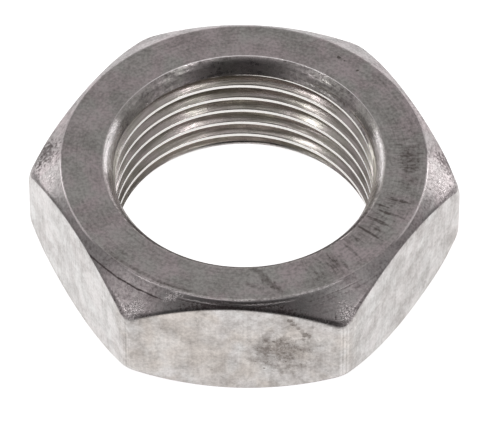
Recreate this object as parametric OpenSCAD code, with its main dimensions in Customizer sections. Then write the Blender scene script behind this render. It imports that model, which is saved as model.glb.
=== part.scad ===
// Thin hexagon lock nut, turned in one piece from hexagon bar.
// Both ends are alike: a flat bearing face, a conical chamfer that cuts the corners
// back in hyperbolic arcs, and a countersink that leads into the threaded bore.
// Millimetres. The nut lies on its lower bearing face with the middle of that face at
// the origin, a flat towards -Y and a corner on +X.

/* [Hexagon] */
// Width across the flats
across_flats = 41; // [36:0.5:50]
// Height between the two bearing faces
nut_h = 14.4; // [9:0.2:22]
// Radius of the six upright corners
corner_r = 1.9; // [0.5:0.1:4]

/* [Chamfers] */
// Distance from a flat in to the rim of the bearing face
face_inset = 0.8; // [0.2:0.1:1.6]
// Angle of the chamfer cone, measured from the bearing face
chamfer_angle = 39; // [20:1:45]
// Radius that breaks the edge between bearing face and chamfer
rim_r = 0.7; // [0.2:0.1:1.6]

/* [Thread] */
// Nominal diameter of the thread
thread_d = 30; // [24:0.5:33]
// Pitch of the thread
thread_pitch = 2; // [1:0.25:3]

/* [Countersinks] */
// Width of each countersink, from the bore out to the bearing face
countersink_w = 1.37; // [0.9:0.01:1.9]
// Included angle of each countersink
countersink_angle = 65; // [50:5:90]
// Radius that breaks the edge between countersink and bearing face
mouth_r = 0.55; // [0.1:0.05:0.8]

/* [Hidden] */
$fn = 96;
CORNERS = 6;
// Most degrees that one step of a small arc turns through
ARC_STEP = 7.5;
// How far a cutter runs past what it cuts
OVERRUN = 1;
half_corner = 180 / CORNERS;
flat_r = across_flats / 2;
corner_axis_r = (flat_r - corner_r) / cos(half_corner);
corner_tip_r = corner_axis_r + corner_r;
// Bearing face, out to where its plane meets the chamfer cone
face_r = flat_r - face_inset;
rim_axis_r = face_r - rim_r * tan(chamfer_angle / 2);
// Bore across the crests of a 60 degree metric thread
crest_depth = 5 / 8 * thread_pitch * sin(60);
bore_r = thread_d / 2 - crest_depth;
// Countersink wall, which leans half the included angle off the axis
lean = countersink_angle / 2;
mouth_face_r = bore_r + countersink_w;
mouth_edge_r = mouth_face_r - mouth_r * tan((90 - lean) / 2);
countersink_depth = (mouth_edge_r - bore_r) / tan(lean);

// Points of an arc about a centre, from one angle to another
function arc(centre, r, from, to) =
    let (steps = ceil(abs(to - from) / ARC_STEP))
    [for (i = [0 : steps])
        let (a = from + (to - from) * i / steps)
        centre + r * [cos(a), sin(a)]];

// A half section that is measured up from a bearing face, set on the upper face
function on_top(points) = [for (p = points) p + [0, nut_h]];

// The same half section turned over for the lower face, and run through backwards
function on_bottom(points) = [for (i = [len(points) - 1 : -1 : 0]) [points[i].x, -points[i].y]];

// Outline of the hexagon bar, with a corner on +X
module bar_outline() {
    polygon([
        for (i = [0 : CORNERS - 1])
            let (a = 2 * half_corner * i)
            each arc(corner_axis_r * [cos(a), sin(a)], corner_r, a - half_corner, a + half_corner)
    ]);
}

// Revolved cutter that leaves a bearing face, its rim and its chamfer cone
module chamfer_cutter() {
    reach = corner_tip_r + OVERRUN;
    rotate_extrude()
        polygon([
            [rim_axis_r, OVERRUN],
            each arc([rim_axis_r, -rim_r], rim_r, 90, 90 - chamfer_angle),
            [reach, -(reach - face_r) * tan(chamfer_angle)],
            [reach, OVERRUN]
        ]);
}

// Revolved cutter of the bore, with a countersink and a rounded mouth at each end
module bore_cutter() {
    mouth = [
        [bore_r, -countersink_depth],
        each arc([mouth_face_r, -mouth_r], mouth_r, 180 - lean, 90),
        [mouth_face_r, OVERRUN],
        [0, OVERRUN]
    ];
    rotate_extrude()
        polygon([each on_top(mouth), each on_bottom(mouth)]);
}

module lock_nut() {
    color([0.74, 0.73, 0.72])
        difference() {
            linear_extrude(nut_h)
                bar_outline();
            translate([0, 0, nut_h])
                chamfer_cutter();
            mirror([0, 0, 1])
                chamfer_cutter();
            bore_cutter();
        }
}

lock_nut();
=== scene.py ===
"""Dressed model of a thin hexagon lock nut, turned in one piece from hexagon bar.

The nut is one closed piece. Its outside is meshed from the meridian section of the bar, ring by
ring, and its bore is a thread that Geometry Nodes wind along the helix. Both are joined at the
mouths and finished zone by zone. Sizes are in millimetres and are turned into metres as the
meshes are made.
"""

import logging
import math
from abc import ABC, abstractmethod
from dataclasses import dataclass, field
from enum import Enum
from typing import Callable, Sequence

import bmesh
import bpy
from mathutils import Matrix, Vector


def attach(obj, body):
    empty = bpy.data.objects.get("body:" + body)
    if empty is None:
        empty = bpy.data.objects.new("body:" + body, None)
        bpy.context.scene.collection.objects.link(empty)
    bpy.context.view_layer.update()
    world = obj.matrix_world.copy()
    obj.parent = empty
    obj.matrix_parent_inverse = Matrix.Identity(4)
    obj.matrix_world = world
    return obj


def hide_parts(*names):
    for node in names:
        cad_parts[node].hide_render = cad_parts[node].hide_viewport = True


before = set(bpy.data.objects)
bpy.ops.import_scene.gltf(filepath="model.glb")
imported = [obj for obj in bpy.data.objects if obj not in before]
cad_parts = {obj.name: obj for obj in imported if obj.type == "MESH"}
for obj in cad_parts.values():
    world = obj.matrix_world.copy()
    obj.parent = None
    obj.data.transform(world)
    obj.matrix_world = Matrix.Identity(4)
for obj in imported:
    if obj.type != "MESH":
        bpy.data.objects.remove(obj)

LOG = logging.getLogger("lock_nut")
MM = 0.001
CORNERS = 6
# Degrees from an upright corner to the middle of the flat beside it
HALF_FLAT = 180 / CORNERS
# Sizes in millimetres that more than one class needs
ACROSS_FLATS = 41.0
HEIGHT = 14.4
CREST_R = 13.9175
PITCH = 2.0

Point = tuple[float, float]
Span = tuple[float, float]
Colour = tuple[float, float, float]
Socket = bpy.types.NodeSocket
Value = Socket | float


class Zone(Enum):
    """The parts of the nut's skin, in the order of its material slots."""

    FACE = 0
    CHAMFER = 1
    FLAT = 2
    THREAD = 3
    COUNTERSINK = 4


def between(first: Point, last: Point, part: float) -> Point:
    """Gives the point that lies a part of the way from one point to another."""
    return (first[0] + (last[0] - first[0]) * part, first[1] + (last[1] - first[1]) * part)


def bend(centre: Point, radius: float, first: float, last: float, steps: int) -> list[Point]:
    """Draws an arc.

    Args:
        centre: Its centre.
        radius: Its radius.
        first: Degrees at which it starts.
        last: Degrees at which it ends.
        steps: How many straight steps it is made of.

    Returns:
        Its points, both ends among them.
    """
    turns = [math.radians(first + (last - first) * i / steps) for i in range(steps + 1)]
    return [(centre[0] + radius * math.cos(a), centre[1] + radius * math.sin(a)) for a in turns]


@dataclass(frozen=True)
class Grain:
    """A fractal noise.

    Attributes:
        scale: Marks for each unit of its coordinates, mostly a millimetre.
        detail: Its octaves.
        rough: How strongly the finer octaves show.
        warp: How far the marks are pulled out of shape.
    """

    scale: float
    detail: float = 4.0
    rough: float = 0.55
    warp: float = 0.0


class Graph:
    """Short calls that add nodes to a shader or geometry tree and wire them up."""

    def __init__(self, tree: bpy.types.NodeTree) -> None:
        """Keeps the tree that the nodes go into."""
        self.tree = tree

    def put(self, value: object, socket: Socket) -> None:
        """Links an output to a socket, or sets the socket to a plain value.

        Args:
            value: An output, or a number, vector, colour or data-block.
            socket: The input that takes it.
        """
        if isinstance(value, Socket):
            self.tree.links.new(value, socket)
        else:
            socket.default_value = value

    def node(self, kind: str, inputs: dict | None = None, **settings: object) -> bpy.types.Node:
        """Adds one node.

        Args:
            kind: The node's type name.
            inputs: Values or outputs for its inputs, by name or index.
            **settings: The node's own properties.

        Returns:
            The node.
        """
        made = self.tree.nodes.new(kind)
        for name, value in settings.items():
            setattr(made, name, value)
        for name, value in (inputs or {}).items():
            self.put(value, made.inputs[name])
        return made

    def math(self, operation: str, *values: Value, clamp: bool = False) -> Socket:
        """Adds a Math node.

        Args:
            operation: What it works out.
            *values: Its numbers, in order.
            clamp: Whether the result is kept from 0 to 1.

        Returns:
            The result.
        """
        made = self.node("ShaderNodeMath", operation=operation, use_clamp=clamp)
        for socket, value in zip(made.inputs, values):
            self.put(value, socket)
        return made.outputs[0]

    def plus(self, first: Value, second: Value) -> Socket:
        """Adds two numbers."""
        return self.math("ADD", first, second)

    def less(self, first: Value, second: Value) -> Socket:
        """Takes the second number from the first."""
        return self.math("SUBTRACT", first, second)

    def times(self, first: Value, second: Value) -> Socket:
        """Multiplies two numbers."""
        return self.math("MULTIPLY", first, second)

    def total(self, *shares: tuple[Value, Value], base: Value = 0.0,
              clamp: bool = False) -> Socket:
        """Adds shares of several numbers to a base.

        Args:
            *shares: Each number and its weight, which is below 0 where it takes away.
            base: What they are added to.
            clamp: Whether the sum is kept from 0 to 1.

        Returns:
            The sum.
        """
        *others, last = shares
        for number, weight in others:
            base = self.math("MULTIPLY_ADD", number, weight, base)
        return self.math("MULTIPLY_ADD", *last, base, clamp=clamp)

    def swing(self, noise: Socket, width: float) -> Socket:
        """Turns a noise from 0 to 1 into one about 0, of the given width."""
        return self.total((noise, width), base=-width / 2)

    def vector(self, x: Value, y: Value, z: Value) -> Socket:
        """Puts three numbers together as a vector."""
        return self.node("ShaderNodeCombineXYZ", {"X": x, "Y": y, "Z": z}).outputs[0]

    def ramp(self, value: Value, low: float, high: float, to_low: float = 0.0,
             to_high: float = 1.0) -> Socket:
        """Maps a number smoothly from one range to another, and clamps it there.

        Args:
            value: The number.
            low: Where the ramp starts.
            high: Where it ends, which may lie below low.
            to_low: The result at low.
            to_high: The result at high.

        Returns:
            The mapped number.
        """
        if low > high:
            low, high, to_low, to_high = high, low, to_high, to_low
        given = dict(enumerate((value, low, high, to_low, to_high)))
        return self.node("ShaderNodeMapRange", given, interpolation_type="SMOOTHSTEP").outputs[0]

    def noise(self, vector: Socket, grain: Grain) -> Socket:
        """Adds a noise from 0 to 1.

        Args:
            vector: The coordinates that it is read at.
            grain: Its scale and roughness.

        Returns:
            The noise.
        """
        return self.node("ShaderNodeTexNoise", {
            "Vector": vector, "Scale": grain.scale, "Detail": grain.detail,
            "Roughness": grain.rough, "Distortion": grain.warp}).outputs[0]

    def blend(self, factor: Socket, first: Socket | Colour, second: Socket | Colour) -> Socket:
        """Mixes two colours.

        Args:
            factor: 0 for the first colour, 1 for the second.
            first: One colour.
            second: The other.

        Returns:
            The mixed colour.
        """
        made = self.node("ShaderNodeMix", {0: factor}, data_type="RGBA")
        for socket, value in ((made.inputs[6], first), (made.inputs[7], second)):
            self.put((*value, 1.0) if isinstance(value, tuple) else value, socket)
        return made.outputs[2]


@dataclass(frozen=True)
class Place:
    """A place on the nut's skin in millimetres, as outputs of a material's nodes.

    Attributes:
        graph: The graph of the material.
        xyz: The place as a vector.
        r: Distance from the axis.
        a: Azimuth from +X, in radians.
        c: Cosine of the azimuth.
        s: Sine of the azimuth.
        z: Height.
    """

    graph: Graph
    xyz: Socket
    r: Socket
    a: Socket
    c: Socket
    s: Socket
    z: Socket

    @classmethod
    def read(cls, graph: Graph) -> "Place":
        """Reads the place from the nut's own coordinates.

        Args:
            graph: The graph of the material.

        Returns:
            The place.
        """
        where = graph.node("ShaderNodeTexCoord").outputs["Object"]
        xyz = graph.node("ShaderNodeVectorMath", {0: where, 1: (1 / MM,) * 3},
                         operation="MULTIPLY").outputs[0]
        x, y, z = graph.node("ShaderNodeSeparateXYZ", {0: xyz}).outputs
        r = graph.math("SQRT", graph.total((x, x), (y, y)))
        return cls(graph, xyz, r, graph.math("ARCTAN2", y, x), graph.math("DIVIDE", x, r),
                   graph.math("DIVIDE", y, r), z)

    def noise(self, grain: Grain) -> Socket:
        """Gives a noise from 0 to 1 that is alike in all directions."""
        return self.graph.noise(self.xyz, grain)

    def ringed(self, across: Socket, close: float, along: float) -> Socket:
        """Stretches coordinates round the axis, for marks that the lathe leaves.

        Args:
            across: What the marks lie side by side along, such as the radius.
            close: Marks a millimetre.
            along: How fast a mark changes on its way round.

        Returns:
            Coordinates for a noise.
        """
        g = self.graph
        return g.vector(g.times(across, close), g.times(self.c, along), g.times(self.s, along))

    def rayed(self, across: Socket, close: float, along: float) -> Socket:
        """Stretches coordinates the other way, for marks that run across the turned ones.

        Args:
            across: What the marks run along, such as the radius.
            close: How fast a mark changes in a millimetre of that.
            along: Marks for each unit on the way round.

        Returns:
            Coordinates for a noise.
        """
        g = self.graph
        return g.vector(g.times(self.c, along), g.times(self.s, along), g.times(across, close))

    def strongest(self, marks: Sequence["Spot | Arc"], stray: Value = 0.0) -> Socket:
        """Joins the masks of marks by their highest value.

        Args:
            marks: The marks.
            stray: A number about 0 that frays their edges.

        Returns:
            The joined mask.
        """
        joined, *others = [mark.mask(self, stray) for mark in marks]
        for mask in others:
            joined = self.graph.math("MAXIMUM", joined, mask)
        return joined


@dataclass(frozen=True)
class Spot:
    """A stain, pit or bright patch at a place on the nut, in millimetres.

    Attributes:
        at: Its middle.
        reach: Its half sizes along its own length, across it and upright.
        turn: Degrees that its length is turned from +X.
        depth: How strong it is, from 0 to 1.
    """

    at: tuple[float, float, float]
    reach: tuple[float, float, float]
    turn: float = 0.0
    depth: float = 1.0

    @classmethod
    def on_face(cls, x: float, y: float, length: float, width: float, turn: float,
                depth: float) -> "Spot":
        """Lays a mark on the upper face, by its middle, half sizes, turn and strength."""
        return cls((x, y, HEIGHT), (length, width, 1.0), turn, depth)

    @classmethod
    def across_rings(cls, radius: float, azimuth: float, length: float, width: float,
                     depth: float) -> "Spot":
        """Lays a streak across the turned rings of the upper bearing face.

        Args:
            radius: Distance of its middle from the axis.
            azimuth: Degrees from +X to it.
            length: Its half length.
            width: Its half width.
            depth: How strong it is, from 0 to 1.

        Returns:
            The streak.
        """
        a = math.radians(azimuth)
        return cls.on_face(radius * math.cos(a), radius * math.sin(a), length, width, azimuth,
                           depth)

    @classmethod
    def on_front(cls, x: float, z: float, width: float, height: float, depth: float) -> "Spot":
        """Lays a mark on the front flat, by its middle, half sizes and strength."""
        return cls((x, -ACROSS_FLATS / 2, z), (width, 1.0, height), 0.0, depth)

    def mask(self, place: Place, stray: Value) -> Socket:
        """Makes a number that is highest in the spot and falls to 0 round it.

        Args:
            place: The place on the nut's skin.
            stray: A number about 0 that frays the edge.

        Returns:
            The mask.
        """
        graph = place.graph
        local = graph.node("ShaderNodeMapping", {
            "Vector": place.xyz, "Location": self.at, "Scale": self.reach,
            "Rotation": (0, 0, math.radians(self.turn))}, vector_type="TEXTURE")
        away = graph.node("ShaderNodeVectorMath", {0: local.outputs[0]}, operation="LENGTH")
        return graph.ramp(graph.plus(away.outputs["Value"], stray), 1.0, 0.4, 0.0, self.depth)


@dataclass(frozen=True)
class Arc:
    """A mark that runs part of the way round the nut's axis.

    Attributes:
        radius: Its distance from the axis, in millimetres.
        width: Its half width, in millimetres.
        azimuth: Degrees from +X to its middle.
        span: Degrees from its middle to its ends.
        depth: How strong it is, from 0 to 1.
    """

    radius: float
    width: float
    azimuth: float
    span: float
    depth: float = 1.0

    def mask(self, place: Place, stray: Value) -> Socket:
        """Makes a number that is highest on the arc and falls to 0 beside it.

        Args:
            place: The place on the nut's skin.
            stray: Millimetres that the arc strays, about 0.

        Returns:
            The mask.
        """
        graph, a, span = place.graph, math.radians(self.azimuth), math.radians(self.span)
        off = graph.math("ABSOLUTE", graph.less(graph.plus(place.r, stray), self.radius))
        facing = graph.total((place.c, math.cos(a)), (place.s, math.sin(a)))
        return graph.times(graph.ramp(off, self.width, 0.2 * self.width),
                           graph.ramp(facing, math.cos(span), math.cos(span / 2), 0.0, self.depth))


@dataclass(frozen=True)
class Look:
    """What a finish gives for a place, each from 0 to 1.

    Attributes:
        colour: The colour.
        dull: How dull it is.
        height: How high it stands.
        matt: Where metal is torn to a fine white tooth, how far that scatters the light.
    """

    colour: Socket
    dull: Socket
    height: Socket
    matt: Socket | None = None


@dataclass(frozen=True)
class Finish(ABC):
    """What the finishes of the nut share: bare stainless steel.

    Attributes:
        name: Name of the material.
        colour: Colour of the clean surface.
        tint: Colour that it drifts to in places.
        dark: Colour of its stains.
        rough: Lowest and highest roughness.
        bump: Height of the surface's marks, in millimetres.
        drift: Noise of the drift from colour to tint.
    """

    name: str
    colour: Colour
    tint: Colour
    dark: Colour
    rough: Span
    bump: float
    drift: Grain = Grain(0.24, 3.0, 0.6, 0.6)

    @abstractmethod
    def pattern(self, at: Place) -> Look:
        """Makes the look of a place.

        Args:
            at: The place on the nut's skin.

        Returns:
            Its look.
        """

    def clean(self, at: Place) -> Socket:
        """Gives the clean colour, which drifts to the tint and back."""
        drift = at.graph.ramp(at.noise(self.drift), 0.36, 0.64)
        return at.graph.blend(drift, self.colour, self.tint)

    def material(self) -> bpy.types.Material:
        """Builds the material.

        Returns:
            The material.
        """
        made = bpy.data.materials.new(self.name)
        made.use_nodes = True
        graph = Graph(made.node_tree)
        steel = made.node_tree.nodes["Principled BSDF"].inputs
        look = self.pattern(Place.read(graph))
        bump = graph.node("ShaderNodeBump", {"Height": look.height, "Strength": 1.0,
                                             "Distance": self.bump * MM})
        graph.put(look.colour, steel["Base Color"])
        graph.put(1.0 if look.matt is None else graph.less(1.0, look.matt), steel["Metallic"])
        graph.put(graph.ramp(look.dull, 0.0, 1.0, *self.rough), steel["Roughness"])
        graph.put(bump.outputs[0], steel["Normal"])
        return made


@dataclass(frozen=True)
class TurnedFace(Finish):
    """A bearing face: faint rings from the lathe, dull blotches, streaks and small pits.

    Attributes:
        streaks: Short dark streaks, most of them across the rings.
        arcs: Darker rings that run part of the way round.
        pits: Small pits.
        scuff: The band that is scuffed across the rings.
        rings: Noise of the turned rings.
        rays: Noise of the scuffs.
        cloud: Noise of the blotches.
        grain: Noise of the steel's grain.
    """

    streaks: tuple[Spot, ...] = ()
    arcs: tuple[Arc, ...] = ()
    pits: tuple[Spot, ...] = ()
    scuff: Arc = Arc(17.3, 2.6, -27.0, 62.0)
    rings: Grain = Grain(1.0, 4.0, 0.6)
    rays: Grain = Grain(1.0, 3.0, 0.6)
    cloud: Grain = Grain(0.28, 5.0, 0.6, 0.5)
    grain: Grain = Grain(3.0, 3.0, 0.65)

    def pattern(self, at: Place) -> Look:
        """Makes the rings, the blotches, the streaks across them and the pits.

        Args:
            at: The place on the nut's skin.

        Returns:
            Its look.
        """
        g = at.graph
        rings = g.noise(at.ringed(at.r, 6.0, 5.0), self.rings)
        rays = g.noise(at.rayed(at.r, 0.6, 65.0), self.rays)
        cloud, grain = at.noise(self.cloud), at.noise(self.grain)
        dirt = at.strongest(self.streaks, g.swing(rays, 1.4))
        turned = at.strongest(self.arcs, g.swing(cloud, 0.6))
        pit = at.strongest(self.pits, g.swing(grain, 1.2))
        scuffs = g.times(self.scuff.mask(at, 0.0), g.ramp(rays, 0.56, 0.36))
        scuffs = g.times(scuffs, g.ramp(cloud, 0.62, 0.4, 0.2, 1.0))
        tone = g.total((g.ramp(cloud, 0.34, 0.66), 0.34), (g.ramp(grain, 0.3, 0.7), 0.5),
                       (g.ramp(rings, 0.3, 0.7), 0.2), (dirt, -0.6), (scuffs, -0.35),
                       (turned, -0.35), (pit, -1.0), base=0.22, clamp=True)
        height = g.total((rings, 0.5), (grain, 0.5), (pit, -1.0))
        return Look(g.blend(tone, self.dark, self.clean(at)), g.less(1.0, tone), height)


@dataclass(frozen=True)
class TurnedChamfer(Finish):
    """A chamfer cone: turned smooth, scored in places, knocked at the corners, with painted
    highlights along the rim and, in part, on the rubbed patches.

    Attributes:
        arcs: Scored rings.
        burns: Darkened, pitted patches.
        rubs_and_highlights: Patches that are rubbed rough, and painted bright, partly as a
            highlight.
        painted_rim_highlights: Stretches of the rim where a highlight is painted in the bright
            colour.
        bright: Colour where it is rubbed, and of the painted highlights.
        corner_r: Radius past which the corners are knocked.
        rings: Noise of the turned rings.
        cloud: Noise of the blotches.
        grain: Noise of the steel's grain.
        nicks: Noise of the small nicks.
        dents: Noise of the larger ones.
        speckle: Noise that breaks up the rubbed patches.
        wander: Noise that lets the scored rings wander.
    """

    arcs: tuple[Arc, ...] = ()
    burns: tuple[Spot, ...] = ()
    rubs_and_highlights: tuple[Spot, ...] = ()
    painted_rim_highlights: tuple[Arc, ...] = ()
    bright: Colour = (1.0, 0.93, 0.93)
    corner_r: float = 21.6
    rings: Grain = Grain(1.0, 3.0, 0.6)
    cloud: Grain = Grain(0.45, 4.0, 0.6, 0.5)
    grain: Grain = Grain(3.4, 4.0, 0.65)
    nicks: Grain = Grain(4.2, 2.0, 0.6)
    dents: Grain = Grain(1.9, 3.0, 0.7)
    speckle: Grain = Grain(5.5, 2.0, 0.6)
    wander: Grain = Grain(0.4, 2.0)

    def pattern(self, at: Place) -> Look:
        """Makes the turned rings, the scored rings and the knocked corners.

        Args:
            at: The place on the nut's skin.

        Returns:
            Its look.
        """
        g = at.graph
        rings = g.noise(at.ringed(at.r, 5.0, 7.0), self.rings)
        cloud, grain = at.noise(self.cloud), at.noise(self.grain)
        fray = g.swing(grain, 2.4)
        burn = at.strongest(self.burns, fray)
        # The rubbed patches take the bright colour, partly as a painted highlight.
        rub_and_highlight = g.times(at.strongest(self.rubs_and_highlights, fray), g.ramp(at.noise(self.speckle), 0.4, 0.6))
        # Painted highlights: bright lines along stretches of the rim.
        rub_and_highlight = g.math("MAXIMUM", rub_and_highlight, at.strongest(self.painted_rim_highlights, g.times(fray, 0.1)))
        score = at.strongest(self.arcs, g.swing(at.noise(self.wander), 0.3))
        knock = g.math("MAXIMUM", g.ramp(at.noise(self.nicks), 0.42, 0.34),
                       g.ramp(at.noise(self.dents), 0.42, 0.32))
        knock = g.times(knock, g.ramp(at.r, self.corner_r, self.corner_r + 0.9, 0.2, 1.0))
        tone = g.total((g.ramp(cloud, 0.3, 0.7), 0.3), (g.ramp(rings, 0.3, 0.7), 0.2),
                       (g.ramp(grain, 0.3, 0.7), 0.54), (knock, -0.7), (burn, -0.6),
                       (score, -0.9), base=0.23, clamp=True)
        height = g.total((grain, 0.6), (rings, 0.4), (knock, -0.8))
        height = g.less(g.times(height, g.total((rub_and_highlight, 4.0), base=1.0)), score)
        worn = g.blend(tone, self.dark, self.clean(at))
        return Look(g.blend(rub_and_highlight, worn, self.bright), g.less(1.0, tone), height)


@dataclass(frozen=True)
class DrawnFlat(Finish):
    """A flat of the bar: pale patches, fine flecks, painted highlight and shade lines on the
    upright corners, painted shade on the front flat and towards +X, stains and pits.

    Attributes:
        stains: Brown stains.
        pits: Small pits.
        warm: Colour of its warmer patches.
        front: Sine of the azimuth past which a flat is the stained one in front, which is also
            painted darker as shade.
        corner_w: Half width of the band on each upright corner where light and dark lines are
            painted as highlight and shade.
        draw: Marks a millimetre that the drawing of the bar left, in each direction.
        patch: Noise of the pale patches.
        cloud: Noise of the blotches in them.
        fine: Noise of the steel's grain.
        fleck: Noise of the dark flecks.
        drawn: Noise of the lines along the bar.
        fray: Noise that frays the stains.
        torn: Noise that breaks them up.
        lines: Noise of the painted highlight and shade lines on the upright corners.
        warmth: Noise of the warmer patches.
    """

    stains: tuple[Spot, ...] = ()
    pits: tuple[Spot, ...] = ()
    warm: Colour = (0.80, 0.745, 0.70)
    front: float = -0.84
    corner_w: float = 0.62
    draw: tuple[float, float, float] = (2.6, 2.6, 0.2)
    patch: Grain = Grain(0.3, 3.0, 0.5, 1.0)
    cloud: Grain = Grain(0.55, 4.0, 0.55, 0.4)
    fine: Grain = Grain(3.2, 4.0, 0.65)
    fleck: Grain = Grain(2.6, 3.0, 0.75)
    drawn: Grain = Grain(1.0, 3.0, 0.6)
    fray: Grain = Grain(1.1, 5.0, 0.75)
    torn: Grain = Grain(2.2, 6.0, 0.8)
    lines: Grain = Grain(1.0, 1.0)
    warmth: Grain = Grain(0.22, 3.0, 0.5, 0.6)

    def off_corner(self, at: Place) -> Socket:
        """Gives the distance to the nearest upright corner, in millimetres.

        Args:
            at: The place on the nut's skin.

        Returns:
            The distance along the skin.
        """
        g = at.graph
        turned = g.math("COSINE", g.times(at.a, float(CORNERS)))
        return g.times(g.math("SQRT", g.times(g.less(1.0, turned), 2 / CORNERS**2)), at.r)

    def pattern(self, at: Place) -> Look:
        """Makes the patches, the flecks, the painted highlight and shade lines on the corners, the
        painted shade, the stains and the pits.

        Args:
            at: The place on the nut's skin.

        Returns:
            Its look.
        """
        g = at.graph
        cloud, fine = at.noise(self.cloud), at.noise(self.fine)
        patch = g.ramp(at.noise(self.patch), 0.38, 0.64)
        fleck = g.ramp(at.noise(self.fleck), 0.40, 0.30)
        tall = g.node("ShaderNodeMapping", {"Vector": at.xyz, "Scale": self.draw}).outputs[0]
        drawn = g.noise(tall, self.drawn)
        in_front = g.ramp(at.s, self.front + 0.04, self.front - 0.04)
        stain = at.strongest(self.stains, g.swing(at.noise(self.fray), 2.6))
        stain = g.times(stain, g.ramp(at.noise(self.torn), 0.34, 0.62, 0.25, 1.0))
        pit = at.strongest(self.pits, g.swing(fine, 1.6))
        off = self.off_corner(at)
        # Painted highlight and shade: light and dark lines along each upright corner.
        worn = g.ramp(off, self.corner_w, 0.6 * self.corner_w)
        lines = g.noise(at.ringed(off, 5.0, 1.0), self.lines)
        painted_corner_lines = g.times(worn, g.less(lines, 0.42))
        # Painted shade: the front flat is darker, and the flats get darker towards +X.
        tone = g.total((patch, 0.2), (g.ramp(cloud, 0.3, 0.7), 0.2), (g.ramp(fine, 0.3, 0.7), 0.26),
                       (g.ramp(drawn, 0.3, 0.7), 0.12), (in_front, -0.14),
                       (g.ramp(at.c, -0.2, 0.6), -0.1),
                       (fleck, g.total((stain, -0.6), base=-0.2)), (painted_corner_lines, 1.0),
                       (stain, -0.6), (pit, -1.0), base=0.38, clamp=True)
        warmth = g.times(in_front, g.ramp(at.noise(self.warmth), 0.35, 0.65))
        clean = g.blend(warmth, self.clean(at), self.warm)
        height = g.total((fine, 0.6), (cloud, 1.0), (pit, -1.0), (fleck, -0.4))
        return Look(g.blend(tone, self.dark, clean), g.less(1.0, tone), height)


@dataclass(frozen=True)
class CutThread(Finish):
    """A cut thread: tool marks along the helix, dull flanks and bright crests, whose bright colour
    is partly a painted highlight.

    Attributes:
        crest: Colour of the crests, bright partly as a painted highlight.
        crest_r: Radius of the crests.
        pitch: Pitch of the thread.
        marks: Noise of the tool marks.
        patchy: Noise of the patches across the turns.
        grain: Noise of the steel's grain.
    """

    crest: Colour = (1.0, 0.98, 0.95)
    crest_r: float = CREST_R
    pitch: float = PITCH
    marks: Grain = Grain(1.4, 4.0, 0.7)
    patchy: Grain = Grain(1.0, 3.0, 0.6)
    grain: Grain = Grain(3.0, 3.0, 0.7)

    def pattern(self, at: Place) -> Look:
        """Makes the tool marks along the flanks and the bright crests.

        Args:
            at: The place on the nut's skin.

        Returns:
            Its look.
        """
        g = at.graph
        winding = g.less(g.times(at.z, 2 * math.pi / self.pitch), at.a)
        wound = g.vector(g.total((at.c, 0.8), (g.math("COSINE", winding), 0.8)),
                         g.total((at.s, 0.8), (g.math("SINE", winding), 0.8)),
                         g.times(at.z, 0.3))
        marks = g.noise(wound, self.marks)
        patchy = g.noise(at.rayed(at.z, 0.8, 5.0), self.patchy)
        grain = at.noise(self.grain)
        tone = g.total((g.ramp(marks, 0.38, 0.62), 0.6), (g.ramp(patchy, 0.3, 0.7), 0.3),
                       (grain, 0.2), clamp=True)
        # The crests take a bright colour, partly as a painted highlight.
        crest = g.ramp(at.r, self.crest_r + 0.05, self.crest_r + 0.01)
        worn = g.times(crest, g.ramp(grain, 0.3, 0.5, 0.75, 1.0))
        flank = g.blend(tone, self.dark, self.clean(at))
        return Look(g.blend(worn, flank, self.crest),
                    g.times(g.less(1.0, tone), g.less(1.0, crest)),
                    g.total((marks, 0.8), (grain, 0.2)))


@dataclass(frozen=True)
class TurnedCone(Finish):
    """A countersink: turned rings on the cone, a torn, speckled surface, torn patches painted
    bright partly as a highlight, a painted highlight line along its edge, and painted shade.

    Attributes:
        patches: Where it is freshly torn; their bright colour is partly a painted highlight.
        edges: Stretches of its upper edge where a highlight line is painted in the bright colour.
        painted_shade_arcs: Where shade is painted in the dark colour.
        bright: Colour where it is torn, and of the painted highlights.
        rings: Noise of the turned rings.
        torn: Noise of the torn surface.
        cloud: Noise of the blotches.
    """

    patches: tuple[Arc, ...] = ()
    edges: tuple[Arc, ...] = ()
    painted_shade_arcs: tuple[Arc, ...] = ()
    bright: Colour = (1.0, 0.96, 0.96)
    rings: Grain = Grain(1.0, 3.0, 0.6)
    torn: Grain = Grain(2.8, 4.0, 0.75)
    cloud: Grain = Grain(0.35, 3.0)

    def pattern(self, at: Place) -> Look:
        """Makes the rings down the cone, the torn speckle, the painted highlights and the painted
        shade.

        Args:
            at: The place on the nut's skin.

        Returns:
            Its look.
        """
        g = at.graph
        rings = g.noise(at.ringed(at.z, 3.5, 6.0), self.rings)
        torn, cloud = at.noise(self.torn), at.noise(self.cloud)
        # Painted highlight: the torn patches, in part, and the edge line take the bright colour.
        torn_and_highlight = g.times(at.strongest(self.patches), g.ramp(rings, 0.3, 0.5, 0.5, 1.0))
        light = g.math("MAXIMUM", torn_and_highlight, at.strongest(self.edges))
        # Painted shade: dark arcs where the cone meets the thread, at its front and on the back of
        # the round.
        painted_shade = at.strongest(self.painted_shade_arcs, g.swing(cloud, 0.4))
        tone = g.total((g.ramp(rings, 0.35, 0.65), 0.35), (g.ramp(torn, 0.35, 0.65), 0.4),
                       (cloud, 0.4), clamp=True)
        tone = g.total((painted_shade, -0.8), base=tone, clamp=True)
        old = g.blend(tone, self.dark, self.clean(at))
        height = g.times(g.total((torn, 0.6), (rings, 0.4)), g.total((torn_and_highlight, 4.0), base=1.0))
        return Look(g.blend(light, old, self.bright),
                    g.times(g.less(1.0, tone), g.less(1.0, torn_and_highlight)), height,
                    g.times(torn_and_highlight, g.ramp(torn, 0.38, 0.6, 0.25, 0.0)))


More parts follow.
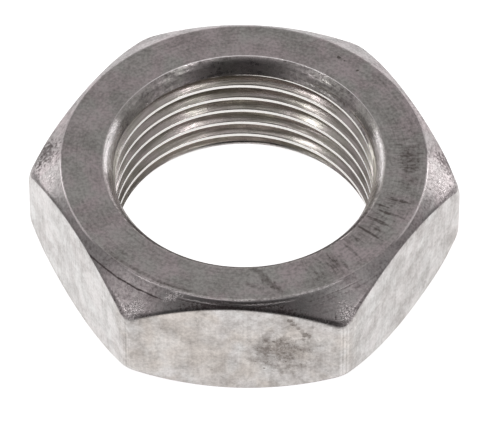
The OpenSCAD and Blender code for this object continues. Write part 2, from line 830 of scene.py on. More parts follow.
@dataclass
class Mouth:
    """Where the bore meets a bearing face: a countersink with a rounded edge.

    Attributes:
        bore_r: Radius across the crests.
        width: From the bore out to the bearing face.
        lean: Degrees that the countersink's wall leans off the axis.
        round_r: Radius of the rounded edge.
        start: Degrees that the rounded edge already leans where it leaves the face.
        seam: Depth of the ring where the bore is joined to the outside.
    """

    bore_r: float = CREST_R
    width: float = 1.4112
    lean: float = 32.5
    round_r: float = 2.0
    start: float = 26.3
    seam: float = 0.07

    @property
    def face_r(self) -> float:
        """Radius at which the rounded edge runs into the bearing face."""
        return self.bore_r + self.width

    @property
    def slope(self) -> float:
        """How much the cone opens for each millimetre of height."""
        return math.tan(math.radians(self.lean))

    @property
    def centre_r(self) -> float:
        """Radius at which the centre of the rounded edge lies."""
        return self.face_r + self.round_r * math.sin(math.radians(self.start))

    @property
    def centre_depth(self) -> float:
        """Depth at which the centre of the rounded edge lies."""
        return self.round_r * math.cos(math.radians(self.start))

    @property
    def round_depth(self) -> float:
        """Depth at which the rounded edge runs into the cone."""
        return self.centre_depth - self.round_r * math.sin(math.radians(self.lean))

    @property
    def depth(self) -> float:
        """Depth at which the cone runs out into the bore."""
        end_r = self.centre_r - self.round_r * math.cos(math.radians(self.lean))
        return self.round_depth + (end_r - self.bore_r) / self.slope

    def radius_at(self, depth: float) -> float:
        """Gives the countersink's radius at a depth.

        Args:
            depth: Depth below the bearing face.

        Returns:
            The radius, which is the bore's below the cone.
        """
        if depth < self.round_depth:
            rise = self.centre_depth - depth
            return self.centre_r - math.sqrt(self.round_r**2 - rise**2)
        return self.bore_r + max(0.0, self.depth - depth) * self.slope


@dataclass
class BarShell:
    """The outside of the nut: two bearing faces, chamfer cones and six flats.

    Attributes:
        across_flats: Width across the flats.
        height: Height between the bearing faces.
        corner_r: Radius of the upright corners.
        face_inset: From a flat in to the rim of the bearing face.
        chamfer: Degrees of the chamfer cone, from the bearing face.
        rim_r: Radius between bearing face and chamfer.
        roll_r: Radius to which the edge between chamfer and flat is rolled over.
        roll_waves: How it swells round the nut: share of it, waves, and degrees they start at.
        knocked: Share of it that corners are rounder by: the four front and back, the side two.
        knock_span: Degrees from a corner over which that fades.
        rim_steps: Steps of the mesh over the rim's radius.
        roll_steps: Steps over the rolled edge.
        columns: Columns of the mesh round the nut.
        corner_steps: Columns over half a rounded corner.
        corner_edge: Degrees from there to the next column, on the flat.
        mouth_strips: Strips from the seam up to the bearing face, with the bore's columns.
        face_parts: Where the rings of the bearing face lie, as parts of its width.
        slope_parts: Where those of the chamfer cone lie.
        flat_parts: Where those of the flat lie, down to its middle.
        mouth: The mouth of the bore.
    """

    across_flats: float = ACROSS_FLATS
    height: float = HEIGHT
    corner_r: float = 1.9
    face_inset: float = 0.8
    chamfer: float = 39.0
    rim_r: float = 0.7
    roll_r: float = 0.8
    roll_waves: tuple[tuple[float, float, float], ...] = ((0.1, 5, 40), (0.06, 13, 0))
    knocked: Span = (1.1, 3.3)
    knock_span: float = 6.0
    rim_steps: int = 5
    roll_steps: int = 7
    columns: int = 288
    corner_steps: int = 6
    corner_edge: float = 0.3
    mouth_strips: int = 4
    face_parts: tuple[float, ...] = (0.015, 0.35, 0.68, 0.97)
    slope_parts: tuple[float, ...] = (0.12, 0.4, 0.7, 0.92)
    flat_parts: tuple[float, ...] = (0.03, 0.2, 0.6)
    mouth: Mouth = field(default_factory=Mouth)

    @property
    def corner_axis(self) -> float:
        """Distance of the upright corners' own axes from the nut's."""
        return (self.across_flats / 2 - self.corner_r) / math.cos(math.radians(HALF_FLAT))

    def off_corner(self, azimuth: float) -> float:
        """Gives the degrees from the nearest upright corner."""
        return (azimuth + HALF_FLAT) % (2 * HALF_FLAT) - HALF_FLAT

    def bar_radius(self, azimuth: float) -> float:
        """Gives the radius of the rounded hexagon.

        Args:
            azimuth: Degrees from +X.

        Returns:
            The radius in that direction.
        """
        b, half = math.radians(abs(self.off_corner(azimuth))), math.radians(HALF_FLAT)
        side = self.corner_r**2 - (self.corner_axis * math.sin(b))**2
        radius = self.corner_axis * math.cos(b) + math.sqrt(max(0.0, side))
        if radius * math.sin(b) < self.corner_r * math.sin(half):
            return radius
        return self.across_flats / 2 / math.cos(half - b)

    def worn_r(self, azimuth: float) -> float:
        """Gives the radius of the worn edge between chamfer and flat.

        Args:
            azimuth: Degrees from +X.

        Returns:
            The radius, which is largest at the two side corners.
        """
        waves = sum(share * math.sin(math.radians(count * azimuth + start))
                    for share, count, start in self.roll_waves)
        least, most = self.knocked
        knocked = least + (most - least) * math.cos(math.radians(azimuth))**4
        fade = math.exp(-(self.off_corner(azimuth) / self.knock_span)**2)
        return self.roll_r * (1 + waves) * (1 + knocked * fade)

    def azimuths(self) -> list[float]:
        """Spaces the columns: close on the rounded corners, even along the flats.

        Returns:
            Degrees from +X, where a corner is, for each column.
        """
        near = [math.degrees(math.atan2(y, x)) for x, y in bend(
            (self.corner_axis, 0.0), self.corner_r, 0, HALF_FLAT, self.corner_steps)]
        near.append(near[-1] + self.corner_edge)
        rest = self.columns // (2 * CORNERS) - len(near) + 1
        near += [near[-1] + (HALF_FLAT - near[-1]) * (i + 1) / rest for i in range(rest)]
        turns = []
        for corner in range(CORNERS):
            turns += [2 * HALF_FLAT * corner + a for a in near[:-1]]
            turns += [2 * HALF_FLAT * (corner + 1) - a for a in reversed(near[1:])]
        return turns

    def section(self, azimuth: float) -> list[tuple[Point, Zone]]:
        """Draws the upper half of the meridian section at an azimuth.

        Args:
            azimuth: Degrees from +X.

        Returns:
            Radius and height of each ring and the zone of the strip that follows it, from the
            mouth outwards and down to the middle of the flat.
        """
        slant, upright = math.radians(self.chamfer), 90 - self.chamfer
        bar_r, worn, top = self.bar_radius(azimuth), self.worn_r(azimuth), self.height
        face_r = self.across_flats / 2 - self.face_inset
        edge_z = top - (bar_r - face_r) * math.tan(slant)
        depths = [self.mouth.seam * (1 - i / self.mouth_strips) for i in range(self.mouth_strips)]
        rim_axis = face_r - self.rim_r * math.tan(slant / 2)
        rim = bend((rim_axis, top - self.rim_r), self.rim_r, 90, upright, self.rim_steps)
        reach = worn * math.tan(math.radians(upright / 2))
        roll = bend((bar_r - worn, edge_z - reach), worn, upright, 0, self.roll_steps)
        inner = (self.mouth.face_r, top)
        face_end, slope_end = len(rim) // 3, len(roll) // 2
        strips = (
            (Zone.COUNTERSINK, [(self.mouth.radius_at(d), top - d) for d in depths]),
            (Zone.FACE, [inner] + [between(inner, rim[0], part) for part in self.face_parts]),
            (Zone.FACE, rim[:face_end]),
            (Zone.CHAMFER, rim[face_end:]),
            (Zone.CHAMFER, [between(rim[-1], roll[0], part) for part in self.slope_parts]),
            (Zone.CHAMFER, roll[:slope_end]),
            (Zone.FLAT, roll[slope_end:]),
            (Zone.FLAT, [between(roll[-1], (bar_r, top / 2), part) for part in self.flat_parts]))
        return [(point, zone) for zone, points in strips for point in points]

    def build(self) -> bpy.types.Mesh:
        """Meshes the outside, open at the two mouths.

        Returns:
            The mesh, in metres.
        """
        turns = self.azimuths()
        sections = [self.section(a) for a in turns]
        rows = 2 * len(sections[0]) + 1
        verts = []
        for column, (azimuth, section) in enumerate(zip(turns, sections)):
            even = 360.0 * column / self.columns
            points = [point for point, _ in section]
            points.append((points[-1][0], self.height / 2))
            points += [(r, self.height - z) for r, z in reversed(points[:-1])]
            for row, (r, z) in enumerate(points):
                from_mouth = min(row, rows - 1 - row)
                share = min(1.0, max(0.0, from_mouth / self.mouth_strips - 1))
                a = math.radians(even + (azimuth - even) * share)
                verts.append((r * math.cos(a) * MM, r * math.sin(a) * MM, z * MM))
        upper = [zone.value for _, zone in sections[0]]
        faces = []
        for column in range(self.columns):
            here, there = column * rows, (column + 1) % self.columns * rows
            faces += [(here + row, here + row + 1, there + row + 1, there + row)
                      for row in range(rows - 1)]
        mesh = bpy.data.meshes.new("bar_shell")
        mesh.from_pydata(verts, [], faces)
        mesh.polygons.foreach_set("material_index", (upper + upper[::-1]) * self.columns)
        mesh.update()
        return mesh


@dataclass
class ThreadedBore:
    """The bore: a right-hand metric thread that starts in the countersinks.

    Attributes:
        height: Height of the nut.
        pitch: Pitch of the thread.
        root_r: Radius at the roots.
        flank: Degrees that a flank leans off the plane across the axis.
        crest_half: Half width of a crest, as a share of the pitch.
        crest_z: Height of a crest's middle above +X.
        crest_edge: Radius that breaks the edges of the crests.
        root_edge: Radius in the corners of the roots.
        edge_steps: Steps of the mesh over each of these.
        crest_part: Where a crest's own ring lies, as a part of its half width.
        flank_parts: Where the rings of a flank lie, as parts of its width.
        weld: Distance over which the ends of the turns are joined.
        run_in: Depths in a countersink at which the groove begins and is full.
        columns: Columns of the mesh round the bore.
        mouth: The mouth at each end.
    """

    height: float = HEIGHT
    pitch: float = PITCH
    root_r: float = 15.0
    flank: float = 30.0
    crest_half: float = 1 / 9.5
    crest_z: float = 12.36
    crest_edge: float = 0.09
    root_edge: float = 0.14
    edge_steps: int = 3
    crest_part: float = 0.45
    flank_parts: tuple[float, ...] = (0.08, 0.25, 0.42, 0.58, 0.75, 0.92)
    weld: float = 0.001
    run_in: Span = (1.1, 1.65)
    columns: int = 288
    mouth: Mouth = field(default_factory=Mouth)

    def form(self) -> list[Point]:
        """Draws one pitch of the thread form, from the middle of a crest to the next.

        Returns:
            Height along the axis and radius of each station.
        """
        crest_r, crest_end = self.mouth.bore_r, self.crest_half * self.pitch
        root_end = crest_end + (self.root_r - crest_r) * math.tan(math.radians(self.flank))
        reach = math.tan(math.radians((90 - self.flank) / 2))
        crest = bend((crest_end - reach * self.crest_edge, crest_r + self.crest_edge),
                     self.crest_edge, -90, -self.flank, self.edge_steps)
        root = bend((root_end + reach * self.root_edge, self.root_r - self.root_edge),
                    self.root_edge, 180 - self.flank, 90, self.edge_steps)
        half = [(0.0, crest_r), (self.crest_part * crest_end, crest_r), *crest]
        half += [between(crest[-1], root[0], part) for part in self.flank_parts]
        half += [*root, (self.pitch / 2, self.root_r)]
        return half + [(self.pitch - z, r) for z, r in reversed(half[1:-1])]

    def profile(self) -> bpy.types.Mesh:
        """Turns one pitch of the thread form into points for the node tree.

        Returns:
            A mesh with the radius along X and the share of the pitch along Y.
        """
        mesh = bpy.data.meshes.new("thread_form")
        points = [(r * MM, z / self.pitch, 0.0) for z, r in self.form()]
        mesh.from_pydata(points, [(i, i + 1) for i in range(len(points) - 1)], [])
        return mesh

    def inputs(self, material: bpy.types.Material) -> dict[str, object]:
        """Gives the inputs of the node tree by name, in metres.

        Args:
            material: The finish of the thread.

        Returns:
            The inputs, with turns enough to start below the nut and to end above it.
        """
        mouth = self.mouth
        turns = math.ceil(self.height / self.pitch) + 2
        phase = self.crest_z - self.pitch * math.ceil(self.crest_z / self.pitch + 1)
        return {
            "Pitch": self.pitch * MM, "Height": self.height * MM, "Phase": phase * MM,
            "Seam Depth": mouth.seam * MM, "Bore Radius": mouth.bore_r * MM,
            "Cone Depth": mouth.depth * MM, "Cone Slope": mouth.slope,
            "Edge Centre": mouth.centre_r * MM, "Edge Rise": mouth.centre_depth * MM,
            "Edge Radius": mouth.round_r * MM, "Edge Depth": mouth.round_depth * MM,
            "Groove Start": self.run_in[0] * MM, "Groove Full": self.run_in[1] * MM,
            "Columns": self.columns, "Turns": turns, "Material": material}

    def lead(self, g: Graph, given: bpy.types.bpy_prop_collection, depth: Socket) -> Socket:
        """Adds nodes that give the radius of countersink and bore, without the groove.

        Args:
            g: The graph of the tree.
            given: The tree's inputs.
            depth: Depth below the nearer bearing face.

        Returns:
            The radius.
        """
        cone = g.total((g.less(given["Cone Depth"], depth), given["Cone Slope"]),
                       base=given["Bore Radius"])
        rise = g.less(given["Edge Rise"], depth)
        inner = g.less(g.times(given["Edge Radius"], given["Edge Radius"]), g.times(rise, rise))
        rounded = g.less(given["Edge Centre"], g.math("SQRT", g.math("MAXIMUM", inner, 0.0)))
        at_edge = g.math("LESS_THAN", depth, given["Edge Depth"])
        return g.node("GeometryNodeSwitch", {0: at_edge, 1: cone, 2: rounded},
                      input_type="FLOAT").outputs[0]

    def tree(self, inputs: dict[str, object]) -> bpy.types.NodeTree:
        """Builds the node tree that winds the thread form up the bore.

        Args:
            inputs: The inputs that it needs, by name.

        Returns:
            The geometry tree.
        """
        kinds = {int: "NodeSocketInt", float: "NodeSocketFloat"}
        tree = bpy.data.node_groups.new("wound_thread", "GeometryNodeTree")
        for side in ("INPUT", "OUTPUT"):
            tree.interface.new_socket("Geometry", in_out=side, socket_type="NodeSocketGeometry")
        for name, value in inputs.items():
            tree.interface.new_socket(name, in_out="INPUT",
                                      socket_type=kinds.get(type(value), "NodeSocketMaterial"))
        g = Graph(tree)
        given = g.node("NodeGroupInput").outputs
        form = given["Geometry"]
        stations = g.node("GeometryNodeAttributeDomainSize", {"Geometry": form}).outputs[0]
        rows = g.plus(g.times(stations, given["Turns"]), 1.0)
        grid = g.node("GeometryNodeMeshGrid", {
            "Vertices X": g.plus(given["Columns"], 1.0), "Vertices Y": rows}).outputs[0]
        index = g.node("GeometryNodeInputIndex").outputs[0]
        column = g.math("FLOOR", g.math("DIVIDE", g.plus(index, 0.5), rows))
        row = g.less(index, g.times(column, rows))
        turn = g.math("FLOOR", g.math("DIVIDE", g.plus(row, 0.5), stations))
        sample = g.node("GeometryNodeSampleIndex", {
            "Geometry": form, "Value": g.node("GeometryNodeInputPosition").outputs[0],
            "Index": g.less(row, g.times(turn, stations))}, data_type="FLOAT_VECTOR").outputs[0]
        groove_r, share, _ = g.node("ShaderNodeSeparateXYZ", {0: sample}).outputs
        wound = g.math("DIVIDE", column, given["Columns"])
        climb = g.total((g.plus(g.plus(turn, share), wound), given["Pitch"]),
                        base=given["Phase"])
        top = g.less(given["Height"], given["Seam Depth"])
        z = g.math("MINIMUM", g.math("MAXIMUM", climb, given["Seam Depth"]), top)
        depth = g.math("MINIMUM", z, g.less(given["Height"], z))
        lead = self.lead(g, given, depth)
        full = g.node("ShaderNodeMapRange", {
            "Value": depth, "From Min": given["Groove Start"],
            "From Max": given["Groove Full"]}).outputs[0]
        radius = g.total((g.math("MAXIMUM", g.less(groove_r, lead), 0.0), full), base=lead)
        angle = g.times(wound, 2 * math.pi)
        moved = g.vector(g.times(radius, g.math("COSINE", angle)),
                         g.times(radius, g.math("SINE", angle)), z)
        skin = grid
        for kind, more in (("GeometryNodeSetPosition", {"Position": moved}),
                           ("GeometryNodeMergeByDistance", {"Distance": self.weld * MM}),
                           ("GeometryNodeRealizeInstances", {}),
                           ("GeometryNodeSetMaterial", {"Material": given["Material"]})):
            skin = g.node(kind, {"Geometry": skin, **more}).outputs[0]
        g.put(skin, g.node("NodeGroupOutput").inputs[0])
        return tree

    def build(self, material: bpy.types.Material) -> bpy.types.Mesh:
        """Winds the thread and gives it back as a plain mesh.

        Args:
            material: The finish of the thread.

        Returns:
            The mesh of the bore, in metres, open at the two mouths.
        """
        form = self.profile()
        holder = bpy.data.objects.new("thread_form", form)
        bpy.context.scene.collection.objects.link(holder)
        modifier = holder.modifiers.new("wound_thread", "NODES")
        inputs = self.inputs(material)
        modifier.node_group = self.tree(inputs)
        for socket in modifier.node_group.interface.items_tree:
            if socket.name in inputs:
                modifier[socket.identifier] = inputs[socket.name]
        holder.update_tag()
        bpy.context.view_layer.update()
        graph = bpy.context.evaluated_depsgraph_get()
        mesh = bpy.data.meshes.new_from_object(holder.evaluated_get(graph), depsgraph=graph)
        bpy.data.objects.remove(holder)
        bpy.data.meshes.remove(form)
        return mesh


@dataclass
class LockNut:
    """The whole nut: outside and bore joined into one closed piece.

    Attributes:
        finishes: The finish of each zone.
        shell: The outside.
        bore: The threaded bore.
        cone_skin: How far in and out of the cone a face still counts as countersink.
        weld: Distance over which the two meshes are joined.
        crisp: Degrees between faces past which an edge stays sharp.
    """

    finishes: dict[Zone, Finish]
    shell: BarShell = field(default_factory=BarShell)
    bore: ThreadedBore = field(default_factory=ThreadedBore)
    cone_skin: Span = (-0.02, 0.12)
    weld: float = 0.0015
    crisp: float = 38.0

    def bore_zone(self, middle: Vector) -> Zone:
        """Tells the countersinks from the thread.

        Args:
            middle: The middle of a face of the bore.

        Returns:
            Its zone.
        """
        mouth = self.bore.mouth
        depth = min(middle.z, self.bore.height - middle.z)
        off = math.hypot(middle.x, middle.y) - mouth.radius_at(depth)
        on_cone = depth <= mouth.depth and self.cone_skin[0] < off <= self.cone_skin[1]
        return Zone.COUNTERSINK if on_cone else Zone.THREAD

    def join(self, thread: bpy.types.Material) -> bpy.types.Mesh:
        """Joins outside and bore and turns every face outwards.

        Args:
            thread: The finish of the thread.

        Returns:
            The closed mesh.
        """
        skin = bmesh.new()
        skin.from_mesh(self.shell.build())
        outside = len(skin.faces)
        skin.from_mesh(self.bore.build(thread))
        skin.faces.ensure_lookup_table()
        for face in skin.faces[outside:]:
            face.material_index = self.bore_zone(face.calc_center_median() / MM).value
        bmesh.ops.remove_doubles(skin, verts=skin.verts[:], dist=self.weld * MM)
        bmesh.ops.recalc_face_normals(skin, faces=skin.faces[:])
        if skin.calc_volume(signed=True) < 0:
            bmesh.ops.reverse_faces(skin, faces=skin.faces[:])
        for face in skin.faces:
            face.smooth = True
        LOG.info("nut: %d faces, %d open edges, %.1f mm3", len(skin.faces),
                 sum(len(edge.link_faces) != 2 for edge in skin.edges),
                 skin.calc_volume() / MM**3)
        mesh = bpy.data.meshes.new("nut")
        skin.to_mesh(mesh)
        skin.free()
        mesh.set_sharp_from_angle(angle=math.radians(self.crisp))
        return mesh

    def build(self) -> bpy.types.Object:
        """Builds the nut, dresses it and puts it in place of its solid.

        Returns:
            The finished piece.
        """
        materials = {zone: self.finishes[zone].material() for zone in Zone}
        mesh = self.join(materials[Zone.THREAD])
        for zone in Zone:
            mesh.materials.append(materials[zone])
        nut = bpy.data.objects.new("nut", mesh)
        bpy.context.scene.collection.objects.link(nut)
        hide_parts("lock_nut")
        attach(nut, "root")
        return nut


@dataclass
class Card:
    """A soft light: a glowing rectangle that the steel can mirror.

    Attributes:
        name: Its name.
        azimuth: Degrees from +X to it.
        elevation: Degrees above the table.
        size: Width and height, in metres.
        power: Watts.
        away: Distance from the nut, in metres.
    """

    name: str
    azimuth: float
    elevation: float
    size: Span
    power: float
    away: float = 0.6

    def build(self) -> bpy.types.Object:
        """Hangs the light, facing the nut.

        Returns:
            The light.
        """
        lamp = bpy.data.lights.new(self.name, "AREA")
        lamp.shape = "RECTANGLE"
        lamp.size, lamp.size_y = self.size
        lamp.energy = self.power
        made = bpy.data.objects.new(self.name, lamp)
        a, e = math.radians(self.azimuth), math.radians(self.elevation)
        out = Vector((math.cos(a) * math.cos(e), math.sin(a) * math.cos(e), math.sin(e)))
        made.location = out * self.away
        made.rotation_euler = (-out).to_track_quat("-Z", "Y").to_euler()
        bpy.context.scene.collection.objects.link(made)
        LOG.info("%s: %.2f W at azimuth %.0f", self.name, self.power, self.azimuth)
        return made


@dataclass
class Studio:
    """The table, the lights, the room and the camera.

    Attributes:
        view_turn: Degrees that the nut is turned about its axis before the camera.
        elevation: Degrees that the camera looks down.
        roll: Degrees that the camera is rolled.
        offset: From the camera's axes to the nut's origin, in millimetres.
        focal: Focal length, in pixels of the image.
        image_width: Width of that image, in pixels.
        sensor: Width of the camera's sensor, in millimetres.
        clip: Nearest and farthest that the camera sees, in metres.
        table_x: Left and right edge of the table, in metres.
        table_y: Front and back edge of the table, in metres.
        table_round: Radius of the table's corners, in metres.
        table_steps: Steps of the mesh over each of them.
        table_z: Height of the table, a hair below the nut, in metres.
        table_colour: Colour of its paper.
        table_rough: Roughness of its paper.
        table_seen: What the table glows with towards the camera.
        table_mirrored: What it glows with towards the steel.
        room_front: Level of the dark side that the camera stands on.
        room_side: Level of the rest of the room.
        room_low: Level below the table's height.
        room_back: What the pale back of the room adds to it.
        room_tint: Colour of the room's light.
        dark_left: Where the dark side starts towards -X, as parts of a direction.
        dark_right: Where it ends towards +X.
        dark_front: How far it reaches from the front.
        floor: Where the room brightens above the table's height.
        pale_back: Where its pale back starts towards +Y.
        pale_top: Where its pale back ends upwards.
        cards: The lights.
    """

    view_turn: float = -2.538
    elevation: float = 49.127
    roll: float = 0.092
    offset: tuple[float, float, float] = (-0.872, 3.194, 657.264)
    focal: float = 6000.0
    image_width: int = 504
    sensor: float = 36.0
    clip: Span = (0.01, 50.0)
    table_x: Span = (-0.055, 0.055)
    table_y: Span = (-0.055, 0.30)
    table_round: float = 0.03
    table_steps: int = 12
    table_z: float = -0.00002
    table_colour: Colour = (0.86, 0.86, 0.86)
    table_rough: float = 0.6
    table_seen: float = 0.88
    table_mirrored: float = 0.62
    room_front: float = 0.02
    room_side: float = 0.37
    room_low: float = 0.08
    room_back: float = 1.0
    room_tint: Colour = (1.0, 0.975, 0.98)
    dark_left: Span = (-0.56, -0.36)
    dark_right: Span = (0.8, 0.6)
    dark_front: Span = (-0.34, -0.48)
    floor: Span = (-0.3, -0.04)
    pale_back: Span = (0.6, 0.9)
    pale_top: Span = (0.36, 0.02)
    cards: tuple[Card, ...] = (
        Card("light_left", 145, 12, (0.15, 0.42), 0.31),
        Card("light_right", 39, 8, (0.13, 0.42), 0.36),
        Card("light_above", 90, 88, (0.34, 0.34), 0.19),
        Card("light_corner_left", -147, 33, (0.08, 0.07), 0.14),
        Card("light_corner_right", -33, 33, (0.08, 0.07), 0.14),
        Card("light_thread_left", -157, 63, (0.06, 0.12), 0.10),
        Card("light_thread_right", -25, 62, (0.06, 0.12), 0.09))

    def camera(self) -> bpy.types.Object:
        """Sets up the camera at the photograph's angle.

        Returns:
            The camera.
        """
        e, roll = math.radians(self.elevation), math.radians(self.roll)
        right = Vector((1, 0, 0))
        down = Vector((0, -math.sin(e), -math.cos(e)))
        ahead = Vector((0, math.cos(e), -math.sin(e)))
        right, down = (right * math.cos(roll) - down * math.sin(roll),
                       right * math.sin(roll) + down * math.cos(roll))
        unturn = Matrix.Rotation(-math.radians(self.view_turn), 3, "Z")
        x, y, z = self.offset
        stand = unturn @ (-(right * x + down * y + ahead * z)) * MM
        axes = Matrix((unturn @ right, unturn @ -down, unturn @ -ahead)).transposed()
        data = bpy.data.cameras.new("camera")
        data.sensor_fit = "HORIZONTAL"
        data.sensor_width = self.sensor
        data.lens = self.focal * self.sensor / self.image_width
        data.clip_start, data.clip_end = self.clip
        made = bpy.data.objects.new("camera", data)
        made.matrix_world = Matrix.Translation(stand) @ axes.to_4x4()
        bpy.context.scene.collection.objects.link(made)
        bpy.context.scene.camera = made
        return made

    def paper(self) -> bpy.types.Material:
        """Makes the table's white paper, which glows as the light box below it would.

        Returns:
            The material.
        """
        made = bpy.data.materials.new("white_table")
        made.use_nodes = True
        graph, nodes = Graph(made.node_tree), made.node_tree.nodes
        shader = nodes["Principled BSDF"]
        shader.inputs["Base Color"].default_value = (*self.table_colour, 1.0)
        shader.inputs["Roughness"].default_value = self.table_rough
        path = graph.node("ShaderNodeLightPath").outputs
        glow = graph.node("ShaderNodeEmission", {
            "Color": (1, 1, 1, 1), "Strength": graph.total(
                (path["Is Camera Ray"], self.table_seen),
                (path["Is Glossy Ray"], self.table_mirrored))})
        both = graph.node("ShaderNodeAddShader", {0: shader.outputs[0], 1: glow.outputs[0]})
        graph.put(both.outputs[0], nodes["Material Output"].inputs["Surface"])
        return made

    def table(self) -> bpy.types.Object:
        """Lays the pale table top that the nut rests on.

        Returns:
            The table.
        """
        left, right = self.table_x[0] + self.table_round, self.table_x[1] - self.table_round
        front, back = self.table_y[0] + self.table_round, self.table_y[1] - self.table_round
        rim = []
        for turn, centre in ((0, (right, back)), (90, (left, back)), (180, (left, front)),
                             (270, (right, front))):
            rim += [(x, y, self.table_z) for x, y in bend(
                centre, self.table_round, turn, turn + 90, self.table_steps)]
        mesh = bpy.data.meshes.new("table")
        mesh.from_pydata(rim, [], [list(range(len(rim)))])
        mesh.materials.append(self.paper())
        table = bpy.data.objects.new("table", mesh)
        bpy.context.scene.collection.objects.link(table)
        return table

    def room(self) -> bpy.types.World:
        """Sets the world: white to the camera, and a dim room with a pale back to the steel.

        Returns:
            The world.
        """
        world = bpy.data.worlds.new("room")
        world.use_nodes = True
        graph = Graph(world.node_tree)
        behind = world.node_tree.nodes["Background"].inputs
        way = graph.node("ShaderNodeTexCoord").outputs["Generated"]
        x, y, z = graph.node("ShaderNodeSeparateXYZ", {0: way}).outputs
        ahead = graph.times(graph.ramp(x, *self.dark_left), graph.ramp(x, *self.dark_right))
        ahead = graph.times(ahead, graph.ramp(y, *self.dark_front))
        low = graph.ramp(z, *self.floor, self.room_low, self.room_side)
        dim = graph.total((graph.less(self.room_front, low), ahead), base=low)
        pale = graph.times(graph.ramp(y, *self.pale_back), graph.ramp(z, *self.pale_top))
        level = graph.total((pale, self.room_back), base=dim)
        room = graph.vector(*(graph.times(level, share) for share in self.room_tint))
        seen = graph.node("ShaderNodeLightPath").outputs["Is Camera Ray"]
        graph.put(graph.blend(seen, room, (1.0, 1.0, 1.0)), behind["Color"])
        behind["Strength"].default_value = 1.0
        bpy.context.scene.world = world
        return world

    def build(self) -> None:
        """Builds the whole studio."""
        self.camera()
        self.table()
        self.room()
        for card in self.cards:
            card.build()
        bpy.context.scene.view_settings.view_transform = "Standard"


def lay(kind: Callable[..., Spot | Arc], rows: Sequence[tuple]) -> tuple[Spot | Arc, ...]:
    """Lays one mark of a kind for each row of its numbers."""
    return tuple(kind(*row) for row in rows)


def face_finish() -> TurnedFace:
    """Chooses the finish of the bearing faces, with the marks on the upper one.

    Returns:
        The finish.
    """
    # Radius, azimuth, half length, half width, depth
    streaks = (
        (17.7, 6.5, 1.2, 1.3, 0.5), (17.9, -1.0, 1.4, 0.4, 0.8), (17.4, -8.0, 1.7, 0.25, 0.5),
        (17.6, -16.5, 1.9, 0.25, 0.8), (16.2, -21.0, 1.0, 0.22, 0.8),
        (17.3, -23.5, 2.1, 0.25, 0.8), (17.5, -26.0, 1.6, 0.2, 0.6),
        (16.8, -28.5, 2.0, 0.3, 0.9), (17.6, -32.0, 1.4, 0.2, 0.6),
        (16.9, -35.0, 2.0, 0.25, 0.9), (16.4, -40.0, 1.2, 0.22, 0.6),
        (17.3, -45.5, 1.6, 0.25, 0.7), (18.1, -51.5, 1.3, 0.22, 0.7),
        (16.4, -59.0, 1.3, 0.3, 0.5))
    # X, Y, half length, half width, turn, depth
    blotches = (
        (2.2, -15.7, 3.0, 0.5, -40, 0.8), (3.6, -17.3, 2.2, 0.5, -40, 0.8),
        (1.7, -17.6, 1.2, 0.4, -30, 0.6), (7.7, -14.5, 1.8, 1.3, -60, 0.4),
        (10.4, -14.0, 1.4, 1.0, -50, 0.35), (17.9, 1.0, 1.6, 2.6, 0, 0.45))
    # Radius, half width, azimuth, span, depth
    arcs = ((19.3, 0.3, -119, 24, 0.9), (18.2, 0.2, -150, 30, 0.4), (17.2, 0.15, 120, 40, 0.35),
            (18.8, 0.2, 20, 40, 0.4), (16.1, 0.15, -110, 40, 0.3))
    # As the streaks
    pits = ((18.2, 58.1, 0.26, 0.26, 1.0), (18.2, 55.6, 0.16, 0.16, 0.8),
            (18.0, 49.2, 0.2, 0.2, 0.9))
    return TurnedFace(
        name="turned_face", colour=(0.69, 0.61, 0.62), tint=(0.62, 0.61, 0.585),
        dark=(0.18, 0.16, 0.15), rough=(0.3, 0.5), bump=0.004,
        streaks=lay(Spot.across_rings, streaks) + lay(Spot.on_face, blotches),
        arcs=lay(Arc, arcs), pits=lay(Spot.across_rings, pits))


def chamfer_finish() -> TurnedChamfer:
    """Chooses the finish of the chamfers, with the marks on the upper one.

    Returns:
        The finish.
    """
    # Radius, half width, azimuth, span, depth
    arcs = ((20.75, 0.11, -129, 22, 0.9), (20.9, 0.08, -56, 18, 0.2), (20.0, 0.07, -84, 15, 0.6),
            (20.35, 0.09, -93, 20, 0.6), (20.5, 0.08, -60, 12, 0.3))
    # Middle, half sizes, turn, depth
    burns = (((-21.5, 1.2, 13.0), (1.6, 2.2, 3.0), 0, 0.75),
             ((21.9, 2.2, 12.4), (1.4, 1.6, 3.0), 0, 0.68),
             ((-2.2, -20.5, 13.8), (5.0, 0.62, 3.0), 0, 1.0),
             ((5.0, -20.6, 13.6), (5.4, 0.8, 3.0), -3, 1.0))
    # Rubbed patches at the corners and the front: partly wear, partly a painted highlight
    rubs_and_highlights = (((-10.7, -19.7, 12.3), (1.5, 1.0, 3.0), 20, 0.9),
            ((-6.6, -19.1, 13.9), (1.4, 0.5, 3.0), 10, 0.7),
            ((11.8, -19.0, 12.3), (1.4, 1.2, 3.0), -20, 0.9),
            ((21.2, -1.5, 13.2), (1.4, 2.8, 3.0), 0, 0.5),
            ((-20.8, -2.6, 13.5), (1.0, 2.6, 3.0), 0, 0.5))
    # Painted highlights along the rim, with the same columns as the arcs
    painted_rim_highlights = ((19.75, 0.15, -160, 22, 0.75), (19.75, 0.16, -14, 22, 0.75),
              (19.78, 0.08, -116, 12, 0.25), (19.78, 0.08, -95, 12, 0.4),
              (20.17, 0.07, -80, 10, 0.35), (20.2, 0.06, -101, 7, 0.4))
    return TurnedChamfer(
        name="turned_chamfer", colour=(0.53, 0.475, 0.48), tint=(0.48, 0.46, 0.455),
        dark=(0.12, 0.10, 0.10), rough=(0.28, 0.5), bump=0.012, arcs=lay(Arc, arcs),
        burns=lay(Spot, burns), rubs_and_highlights=lay(Spot, rubs_and_highlights), painted_rim_highlights=lay(Arc, painted_rim_highlights))


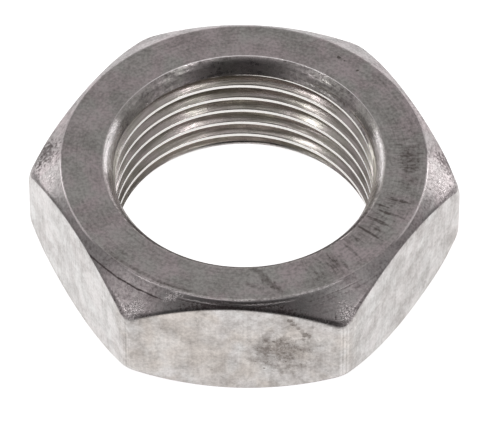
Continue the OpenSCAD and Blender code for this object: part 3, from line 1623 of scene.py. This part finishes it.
def flat_finish() -> DrawnFlat:
    """Chooses the finish of the flats, with the marks on the front one.

    Returns:
        The finish.
    """
    # X, height, half width, half height, depth
    stains = ((5.0, 7.0, 3.9, 3.9, 0.85), (4.0, 7.4, 1.6, 1.8, 1.0))
    pits = (
        (5.8, 12.2, 0.4, 0.45, 0.45), (6.2, 11.6, 0.35, 0.55, 0.4), (6.7, 11.1, 0.5, 0.4, 0.35),
        (7.1, 10.6, 0.35, 0.5, 0.3), (7.4, 10.0, 0.45, 0.5, 0.45), (7.9, 9.8, 0.4, 0.35, 0.35),
        (7.3, 9.2, 0.4, 0.35, 0.35), (3.3, 8.8, 0.2, 0.2, 1.0), (4.1, 8.7, 0.16, 0.16, 0.9),
        (2.9, 7.6, 0.14, 0.14, 0.8), (3.1, 4.2, 0.16, 0.16, 0.9), (4.9, 8.9, 0.15, 0.15, 0.8),
        (3.8, 7.2, 0.13, 0.13, 0.8), (5.4, 5.4, 0.14, 0.14, 0.7), (6.1, 6.1, 0.16, 0.16, 0.8),
        (7.0, 7.5, 0.14, 0.14, 0.7))
    return DrawnFlat(
        name="drawn_flat", colour=(0.84, 0.81, 0.80), tint=(0.85, 0.84, 0.83),
        dark=(0.26, 0.23, 0.21), rough=(0.28, 0.5), bump=0.008,
        stains=lay(Spot.on_front, stains), pits=lay(Spot.on_front, pits))


def thread_finish() -> CutThread:
    """Chooses the finish of the thread."""
    return CutThread(name="cut_thread", colour=(0.77, 0.69, 0.68), tint=(0.73, 0.70, 0.64),
                     dark=(0.20, 0.18, 0.15), rough=(0.18, 0.38), bump=0.035)


def countersink_finish() -> TurnedCone:
    """Chooses the finish of the countersinks, with the marks on the upper one.

    Returns:
        The finish.
    """
    # Radius, half width, azimuth, span, depth
    # Torn patches beside the mouth, painted bright partly as a highlight
    patches = ((14.75, 0.8, 174, 17, 1.0), (14.65, 0.7, 5, 17, 1.0))
    # Painted shade: a dark band at the front, dark lines where the cone meets the thread, and
    # dimmer patches on the back of the round
    painted_shade_arcs = ((14.85, 0.4, -90, 78, 0.9), (14.02, 0.22, 185, 34, 1.0),
              (14.02, 0.22, 0, 30, 1.0), (15.1, 1.4, 118, 30, 0.18), (15.1, 1.4, 64, 28, 0.22))
    return TurnedCone(
        name="turned_countersink", colour=(0.80, 0.73, 0.73), tint=(0.72, 0.70, 0.66),
        dark=(0.16, 0.14, 0.14), rough=(0.22, 0.5), bump=0.02, patches=lay(Arc, patches),
        # The edge arc is a painted highlight line along the back of the mouth.
        edges=(Arc(15.27, 0.06, 90, 84, 1.0),), painted_shade_arcs=lay(Arc, painted_shade_arcs))


def main() -> None:
    """Builds the studio and the nut."""
    logging.basicConfig(level=logging.INFO, format="%(name)s: %(message)s")
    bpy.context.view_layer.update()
    Studio().build()
    nut = LockNut({
        Zone.FACE: face_finish(), Zone.CHAMFER: chamfer_finish(), Zone.FLAT: flat_finish(),
        Zone.THREAD: thread_finish(), Zone.COUNTERSINK: countersink_finish()}).build()
    LOG.info("%s: %d triangles", nut.name, sum(len(p.vertices) - 2 for p in nut.data.polygons))


if __name__ == "__main__":
    main()
